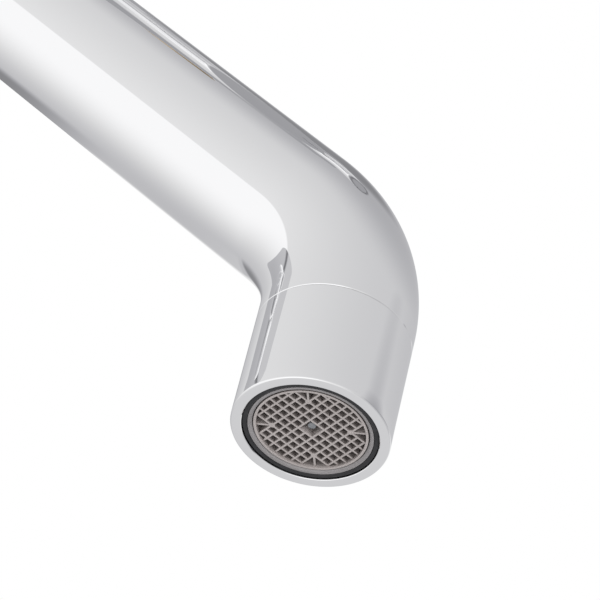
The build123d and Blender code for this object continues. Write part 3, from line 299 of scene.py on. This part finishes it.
def cast_brass():
    """Sand-cast skin with dull patches and a pebbled surface."""
    material, m, shader = new_material("cast_brass", (0.56, 0.40, 0.19), 0.48, 1.0)
    patches = m.ramp(m.noise(55.0, 5.0), 0.35, 0.7)
    vary(m, shader, (0.62, 0.45, 0.22), (0.40, 0.28, 0.13), patches)
    m.plug(shader.inputs["Roughness"], m.ramp(m.noise(120.0, 3.0), 0.3, 0.7, 0.38, 0.6))
    m.plug(shader.inputs["Normal"], m.bump(m.noise(1100.0, 4.0), 0.5, 0.12 * MM))
    return material


def ceramic():
    material, m, shader = new_material("ceramic", (0.86, 0.85, 0.82), 0.18)
    vary(m, shader, (0.88, 0.87, 0.84), (0.80, 0.79, 0.76), m.ramp(m.noise(300.0, 3.0), 0.3, 0.7))
    m.plug(shader.inputs["Roughness"], m.ramp(m.noise(2000.0), 0.3, 0.7, 0.1, 0.25))
    return material


def finishes():
    """One material for each slot of the record."""
    return {
        "chrome": chrome(),
        "brass": machined("brass", (0.72, 0.53, 0.25), (0.62, 0.43, 0.2), 0.26),
        "cast_brass": cast_brass(),
        "steel": machined("steel", (0.60, 0.60, 0.61), (0.52, 0.52, 0.53), 0.34, (1, 1, 40)),
        "spring_steel": machined("spring_steel", (0.50, 0.50, 0.52), (0.4, 0.4, 0.42), 0.3),
        "rubber": rubber("rubber", (0.012, 0.012, 0.014), 0.45),
        "foam": rubber("foam", (0.05, 0.05, 0.052), 0.9),
        "taupe_plastic": grid_plastic(),
        "pin_plastic": pin_plastic(),
        "black_plastic": plastic("black_plastic", (0.02, 0.02, 0.022), (0.03, 0.03, 0.03), 0.4),
        "white_plastic": plastic("white_plastic", (0.78, 0.77, 0.74), (0.72, 0.71, 0.67), 0.4),
        "red_plastic": plastic("red_plastic", (0.52, 0.02, 0.02), (0.42, 0.015, 0.02), 0.28),
        "orange_plastic": plastic("orange_plastic", (0.80, 0.28, 0.04), (0.7, 0.22, 0.03), 0.4),
        "ceramic": ceramic(),
        "wax_copper": machined("wax_copper", (0.70, 0.38, 0.24), (0.55, 0.30, 0.18), 0.3),
    }


# Meshes


def ring(centre, side, up, radius):
    """Points of a circle round a centre, in the plane of two unit vectors."""
    points = []
    for i in range(AROUND):
        angle = 2 * math.pi * i / AROUND
        points.append(centre + radius * (math.cos(angle) * side + math.sin(angle) * up))
    return points


def closed_shell(name, rings):
    """A solid of revolution or sweep: each ring joins the next, and the last the first."""
    mesh = bpy.data.meshes.new(name)
    bm = bmesh.new()
    rows = [[bm.verts.new(p) for p in points] for points in rings]
    for row, following in zip(rows, rows[1:] + rows[:1]):
        for i in range(AROUND):
            j = (i + 1) % AROUND
            bm.faces.new((row[i], row[j], following[j], following[i]))
    bmesh.ops.recalc_face_normals(bm, faces=bm.faces)
    bm.to_mesh(mesh)
    bm.free()
    return finished_object(name, mesh)


def finished_object(name, mesh):
    """An object of a mesh, smooth but for its sharp edges."""
    for face in mesh.polygons:
        face.use_smooth = True
    mesh.set_sharp_from_angle(angle=SHARP_ANGLE)
    made = bpy.data.objects.new(name, mesh)
    bpy.context.scene.collection.objects.link(made)
    return made


def place_along(distance):
    """Centre and ring axes of the spout at a distance from the start of its bend."""
    side = Vector((1, 0, 0))
    if distance <= 0:
        return Vector((0, BEND_START - distance, 0)), side, Vector((0, 0, 1))
    arc = BEND_R * BEND
    turn = min(distance / BEND_R, BEND)
    centre = Vector((0, BEND_START - BEND_R * math.sin(turn), -BEND_R * (1 - math.cos(turn))))
    if distance > arc:
        centre += (distance - arc) * OUT
    return centre, side, Vector((0, -math.sin(turn), math.cos(turn)))


def spout_tube():
    """Tube with its turned spigot, hollow from end to end."""
    straight = TUBE_START - BEND_START
    arc = BEND_R * BEND
    seam = arc + OUTLET_LEG - SLEEVE
    stops = [-straight * (1 - i / STRAIGHT_STEPS) for i in range(STRAIGHT_STEPS)]
    stops += [arc * i / BEND_STEPS for i in range(BEND_STEPS + 1)]
    rings = [ring(*place_along(s), TUBE_R) for s in stops]
    rings.append(ring(*place_along(seam - SEAM_BREAK), TUBE_R))
    rings.append(ring(*place_along(seam), TUBE_R - SEAM_BREAK))
    rings.append(ring(*place_along(seam), SPIGOT_R))
    rings.append(ring(*place_along(seam + SPIGOT_LENGTH), SPIGOT_R))
    rings.append(ring(*place_along(seam + SPIGOT_LENGTH), BORE_R))
    rings += [ring(*place_along(s), BORE_R) for s in reversed(stops)]
    return closed_shell("polished_spout", rings)


def evaluated_mesh(source):
    """A new mesh of an object with its modifiers applied."""
    graph = bpy.context.evaluated_depsgraph_get()
    return bpy.data.meshes.new_from_object(source.evaluated_get(graph))


def drill(piece, place, radius, depth):
    """A vertical hole through a piece, round a place."""
    bm = bmesh.new()
    round_rod = {"segments": HOLE_SIDES, "radius1": radius, "radius2": radius, "depth": depth}
    bmesh.ops.create_cone(bm, cap_ends=True, **round_rod)
    cutter = bpy.data.meshes.new("cutter")
    bm.to_mesh(cutter)
    bm.free()
    holder = bpy.data.objects.new("cutter", cutter)
    bpy.context.scene.collection.objects.link(holder)
    holder.location = place
    cut = piece.modifiers.new("hole", "BOOLEAN")
    cut.object = holder
    bpy.context.view_layer.update()
    drilled = evaluated_mesh(piece)
    piece.modifiers.clear()
    piece.data = drilled
    drilled.set_sharp_from_angle(angle=SHARP_ANGLE)
    bpy.data.objects.remove(holder)
    return piece


def outlet_ring(depth, radius):
    """A ring round the outlet's axis, at a depth behind its face."""
    return ring(OUTLET - depth * OUT, Vector((1, 0, 0)), Vector((0, -OUT.z, OUT.y)), radius)


def outlet_sleeve():
    """Turned sleeve with a rolled rim, the aerator's seat and the tube's socket."""
    back = SLEEVE - FIT
    profile = [(back, TUBE_R - SEAM_BREAK), (back - SEAM_BREAK, TUBE_R)]
    for i in range(1, SLEEVE_STEPS):
        profile.append((back * (1 - i / SLEEVE_STEPS) + OUTLET_EDGE * i / SLEEVE_STEPS, TUBE_R))
    for i in range(EDGE_STEPS + 1):
        angle = math.pi / 2 * i / EDGE_STEPS
        depth = OUTLET_EDGE * (1 - math.sin(angle))
        profile.append((depth, TUBE_R - OUTLET_EDGE * (1 - math.cos(angle))))
    profile += [(0, MOUTH_R + OUTLET_EDGE / 3), (OUTLET_EDGE / 3, MOUTH_R)]
    profile += [(MOUTH_DEPTH, MOUTH_R), (MOUTH_DEPTH, THROAT_R)]
    shoulder = SLEEVE - SOCKET_DEPTH
    profile += [(shoulder, THROAT_R), (shoulder, SOCKET_R), (back, SOCKET_R)]
    return closed_shell("polished_sleeve", [outlet_ring(d, r) for d, r in profile])


def dress(piece, body, slot, materials, *nodes):
    """Gives a piece its material and body, and the CAD nodes that it stands for."""
    piece.data.materials.clear()
    piece.data.materials.append(materials[slot])
    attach(piece, body)
    if nodes:
        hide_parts(*nodes)
    return piece


def stretch(name, first, second, direction):
    """A copy of the spring's CAD mesh, in place of the CAD node."""
    coil = bpy.data.objects.new(name + "_coil", NODES[name].data.copy())
    bpy.context.scene.collection.objects.link(coil)
    coil.matrix_world = NODES[name].matrix_world
    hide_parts(name)
    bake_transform(coil)


def number(text, angle, face_y):
    """A plain raised number on the temperature dial, at an angle clockwise from the top."""
    curve = bpy.data.curves.new("dial_" + text, "FONT")
    curve.body = text
    curve.size = NUMBER_SIZE
    curve.align_x = "CENTER"
    curve.align_y = "CENTER"
    curve.extrude = PRINT_HEIGHT
    curve.resolution_u = 6
    holder = bpy.data.objects.new("dial_" + text, curve)
    bpy.context.scene.collection.objects.link(holder)
    turn = Matrix.Rotation(math.radians(angle), 4, "Y")
    centre = Matrix.Translation((0, face_y, TEMPERATURE_Z))
    place = centre @ turn @ Matrix.Translation((0, 0, NUMBER_CIRCLE))
    holder.matrix_world = place @ Matrix.Rotation(math.pi / 2, 4, "X")
    bpy.context.view_layer.update()
    mesh = evaluated_mesh(holder)
    mesh.transform(holder.matrix_world)
    bpy.data.objects.remove(holder)
    made = bpy.data.objects.new("number_" + text, mesh)
    bpy.context.scene.collection.objects.link(made)
    return made


def tick(name, angle, line, face_y, z):
    """A thin raised line that points at the axis of a knob."""
    inner, outer, width = line
    bm = bmesh.new()
    bmesh.ops.create_cube(bm, size=1.0)
    bmesh.ops.scale(bm, verts=bm.verts, vec=(width, PRINT_HEIGHT, outer - inner))
    rounding = PRINT_HEIGHT * 0.4
    bmesh.ops.bevel(bm, geom=bm.edges[:], offset=rounding, segments=2, affect="EDGES")
    mesh = bpy.data.meshes.new(name)
    bm.to_mesh(mesh)
    bm.free()
    turn = Matrix.Rotation(math.radians(angle), 4, "Y")
    middle = (inner + outer) / 2
    centre = Matrix.Translation((0, face_y - PRINT_HEIGHT / 4, z))
    mesh.transform(centre @ turn @ Matrix.Translation((0, 0, middle)))
    return finished_object(name, mesh)


# Build


materials = finishes()
slots = {entry["node"]: entry["material_slot"] for entry in frame["record"]["subparts"]}
for name, node in NODES.items():
    node.data.materials.clear()
    node.data.materials.append(materials[slots[name]])
housing = NODES["aerator_housing"].data.materials
housing.clear()
housing.append(plastic("housing_plastic", (0.33, 0.315, 0.32), (0.29, 0.275, 0.275), 0.36))

spout = drill(spout_tube(), Vector((0, SCREW_Y, -TUBE_R)), SCREW_HOLE_R, TUBE_R)
dress(spout, "fixed_parts", "chrome", materials, "spout_tube")
dress(outlet_sleeve(), "fixed_parts", "chrome", materials, "outlet_sleeve")

for spring in SPRINGS:
    stretch(*spring)

dial_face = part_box("temperature_dial")[0].y
for text, angle in DIAL_NUMBERS.items():
    made = number(text, angle, dial_face)
    dress(made, "temperature_control", "black_plastic", materials)
for i, angle in enumerate(DIAL_TICKS):
    made = tick(f"dial_tick_{i}", angle, TICK, dial_face, TEMPERATURE_Z)
    dress(made, "temperature_control", "black_plastic", materials)
knob_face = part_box("flow_knob")[0].y
made = tick("flow_pointer", 0, POINTER, knob_face, FLOW_Z)
dress(made, "flow_control", "black_plastic", materials)
plate_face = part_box("cover_plate")[0].y
for name, z in (("temperature_mark", TEMPERATURE_Z), ("flow_mark", FLOW_Z)):
    made = tick(name, 0, PLATE_MARK, plate_face, z)
    dress(made, "fixed_parts", "black_plastic", materials)


# Studio


def studio_world():
    """White behind the object. What surfaces mirror is a plain studio: pale walls that
    darken upwards and beyond the object, a white table with a sharp edge, and a grey
    ceiling and a dark gap behind the camera, which only the flat faces pick up."""
    world = bpy.data.worlds.new("studio")
    bpy.context.scene.world = world
    world.use_nodes = True
    m = Maths(world.node_tree)
    direction = m.node("ShaderNodeTexCoord").outputs["Generated"]
    height = m.dot(direction, (0, 0, 1))
    walls = m.math("ADD", m.math("MULTIPLY", height, WALL_FALL), WALL_TONE)
    beyond = m.ramp(m.dot(direction, BEYOND), 0.62, 0.98, 0.0, 0.20)
    walls = m.math("SUBTRACT", walls, beyond)
    core = m.ramp(m.dot(direction, BEYOND_CORE), 0.955, 0.99, 0.0, 0.20)
    walls = m.math("SUBTRACT", walls, core)
    across = m.dot(direction, (1, 0, 0))
    table = m.ramp(across, -0.35, 0.80, 1.0, 0.52)
    towards = m.dot(direction, (0, 1, 0))
    table = m.math("ADD", table, m.ramp(towards, -0.25, 0.25, 0.12, 0.0))
    table = m.math("MULTIPLY", table, m.ramp(towards, -0.8, -0.5, 0.78, 1.0))
    side = m.ramp(across, 0.60, 0.72)
    far_end = m.ramp(towards, 0.64, 0.675, 0.0, -0.27)
    near_end = m.ramp(towards, 0.58, 0.625, 0.18, 0.0)
    near_end = m.math("MULTIPLY", near_end, m.ramp(towards, 0.3, 0.5))
    rim = m.ramp(height, 0.02, 0.2, 0.0, 0.24)
    rim = m.math("MULTIPLY", rim, m.ramp(towards, 0.638, 0.655, 1.0, 0.0))
    ends = m.math("ADD", far_end, m.math("ADD", near_end, rim))
    table = m.math("ADD", table, m.math("MULTIPLY", side, ends))
    past_edge = m.dot(direction, ACROSS_TABLE_EDGE)
    on_table = m.ramp(past_edge, -0.015, 0.015)
    behind_camera = m.dot(direction, BEHIND_CAMERA)
    walls = m.math("MULTIPLY", walls, m.ramp(behind_camera, 0.80, 0.97, 1.0, 0.82))
    ceiling = m.dot(direction, CEILING)
    walls = m.math("MULTIPLY", walls, m.ramp(ceiling, 0.82, 0.93, 1.0, 0.58))
    table = m.math("MULTIPLY", table, m.ramp(behind_camera, 0.80, 0.97, 1.0, 0.70))
    tone = m.mix(on_table, walls, table)
    gap = m.ramp(m.math("ABSOLUTE", past_edge), 0.0, 0.035, 0.30, 1.0)
    tone = m.math("MULTIPLY", tone, m.mix(m.ramp(behind_camera, 0.85, 0.93), 1.0, gap))
    cool = m.ramp(tone, 0.35, 0.80, 1.045, 1.006)
    colour = m.node("ShaderNodeCombineColor")
    m.plug(colour.inputs[0], tone)
    m.plug(colour.inputs[1], tone)
    m.plug(colour.inputs[2], m.math("MULTIPLY", tone, cool))
    rays = m.node("ShaderNodeLightPath")
    seen = m.mix_colour(rays.outputs["Is Camera Ray"], colour.outputs[0], WHITE)
    background = world.node_tree.nodes["Background"]
    m.plug(background.inputs["Color"], seen)
    background.inputs["Strength"].default_value = 1.0


def soft_lamp(name, place, target, size, power):
    """A broad lamp that lights the object and stays out of its reflections."""
    light = bpy.data.lights.new(name, "AREA")
    light.shape = "SQUARE"
    light.size = size
    light.energy = power
    lamp = bpy.data.objects.new(name, light)
    bpy.context.scene.collection.objects.link(lamp)
    aim = (Vector(target) - Vector(place)).to_track_quat("-Z", "Y")
    lamp.matrix_world = Matrix.Translation(place) @ aim.to_matrix().to_4x4()
    lamp.visible_glossy = False


def pale_floor():
    """A plain pale floor under the set, out of the photograph's view, clear from below."""
    bm = bmesh.new()
    bmesh.ops.create_grid(bm, x_segments=8, y_segments=8, size=FLOOR_HALF)
    mesh = bpy.data.meshes.new("floor")
    bm.to_mesh(mesh)
    bm.free()
    floor = bpy.data.objects.new("floor", mesh)
    bpy.context.scene.collection.objects.link(floor)
    floor.location = (0, 0, FLOOR_Z)
    material, m, shader = new_material("floor_paint", (0.86, 0.86, 0.85), 0.7)
    patches = m.ramp(m.noise(6.0, 3.0), 0.3, 0.7)
    vary(m, shader, (0.87, 0.87, 0.86), (0.85, 0.85, 0.84), patches)
    pale = m.node("ShaderNodeEmission")
    pale.inputs["Color"].default_value = FLOOR_WHITE
    blend = m.node("ShaderNodeMixShader")
    camera_ray = m.node("ShaderNodeLightPath").outputs["Is Camera Ray"]
    m.plug(blend.inputs[0], m.math("MULTIPLY", camera_ray, FLOOR_WHITE_SHARE))
    m.plug(blend.inputs[1], shader.outputs[0])
    m.plug(blend.inputs[2], pale.outputs[0])
    from_below = m.node("ShaderNodeMixShader")
    m.plug(from_below.inputs[0], m.node("ShaderNodeNewGeometry").outputs["Backfacing"])
    m.plug(from_below.inputs[1], blend.outputs[0])
    m.plug(from_below.inputs[2], m.node("ShaderNodeBsdfTransparent").outputs[0])
    output = material.node_tree.nodes["Material Output"]
    m.plug(output.inputs["Surface"], from_below.outputs[0])
    mesh.materials.append(material)
    floor.visible_glossy = False


def photo_camera():
    """Camera from below and the front left, as the photograph was taken."""
    right, up = CAMERA_RIGHT, CAMERA_UP
    shift = CAMERA_SHIFT_RIGHT * right + CAMERA_SHIFT_UP * up
    place = OUTLET + (CAMERA_FROM_OUTLET + shift) * MM
    back = right.cross(up)
    data = bpy.data.cameras.new("photo_camera")
    data.sensor_width = SENSOR_WIDTH
    data.lens = SENSOR_WIDTH * FOCAL_PIXELS / PICTURE_PIXELS
    data.clip_start = 0.01
    camera = bpy.data.objects.new("photo_camera", data)
    bpy.context.scene.collection.objects.link(camera)
    turn = Matrix((right, up, back)).transposed().to_4x4()
    camera.matrix_world = Matrix.Translation(place) @ turn
    bpy.context.scene.camera = camera


bpy.context.scene.view_settings.view_transform = "Standard"
studio_world()
soft_lamp("key_lamp", (-1.0, -1.1, 0.7), (0, -0.08, 0.05), 0.9, 9.0)
soft_lamp("low_lamp", (-0.7, -0.8, -0.45), (0, -0.18, -0.03), 0.6, 3.0)
pale_floor()
photo_camera()
